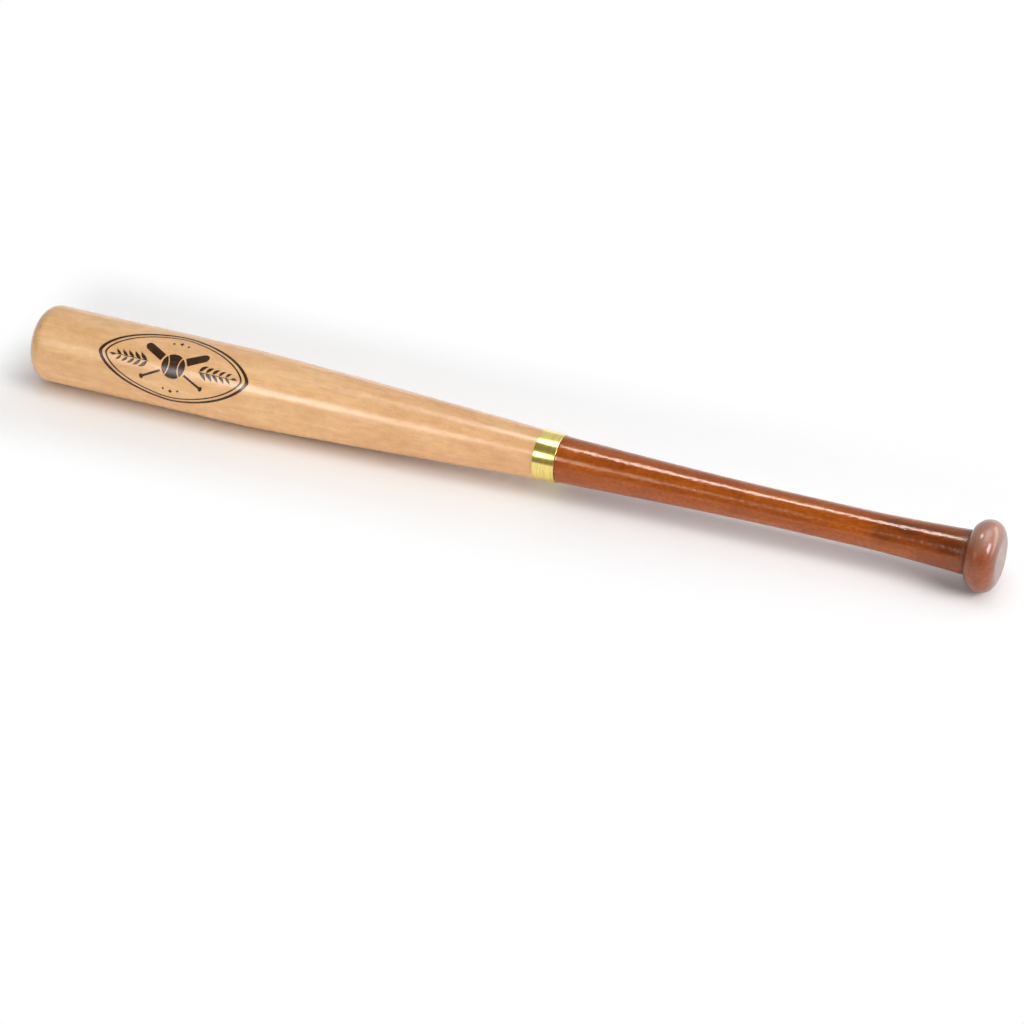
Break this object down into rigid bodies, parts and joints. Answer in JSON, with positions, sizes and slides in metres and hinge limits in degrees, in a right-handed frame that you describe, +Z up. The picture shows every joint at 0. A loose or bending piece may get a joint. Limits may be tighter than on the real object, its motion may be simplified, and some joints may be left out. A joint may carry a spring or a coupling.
{
  "type": "wooden baseball bat",
  "caption": "Round wooden baseball bat: pale turned barrel and stained handle joined on a dowel under a thin brass band, with a separate rounded knob.",
  "frame": {"origin": "centre of the knob's flat end face, on the bat's axis", "axes": "+X along the bat's axis, out of the knob, so the bat lies along -X; +Z up; the side that carries the print in the picture faces -Y"},
  "size_m": [0.7367, 0.057, 0.057],
  "materials": {
    "natural_beech": "clear satin lacquer over pale steamed beech with fine flecks",
    "stained_handle": "red-brown stain under glossy lacquer",
    "stained_knob": "red-brown stain under glossy lacquer, end grain on the face",
    "polished_brass": "polished, with fine turned lines round it",
    "dowel_wood": "plain planed hardwood, glued"
  },
  "bodies": {
    "root": {"barrel": "natural_beech", "handle": "stained_handle", "knob": "stained_knob", "brass_band": "polished_brass", "joint_dowel": "dowel_wood", "knob_dowel": "dowel_wood"}
  },
  "joints": []
}
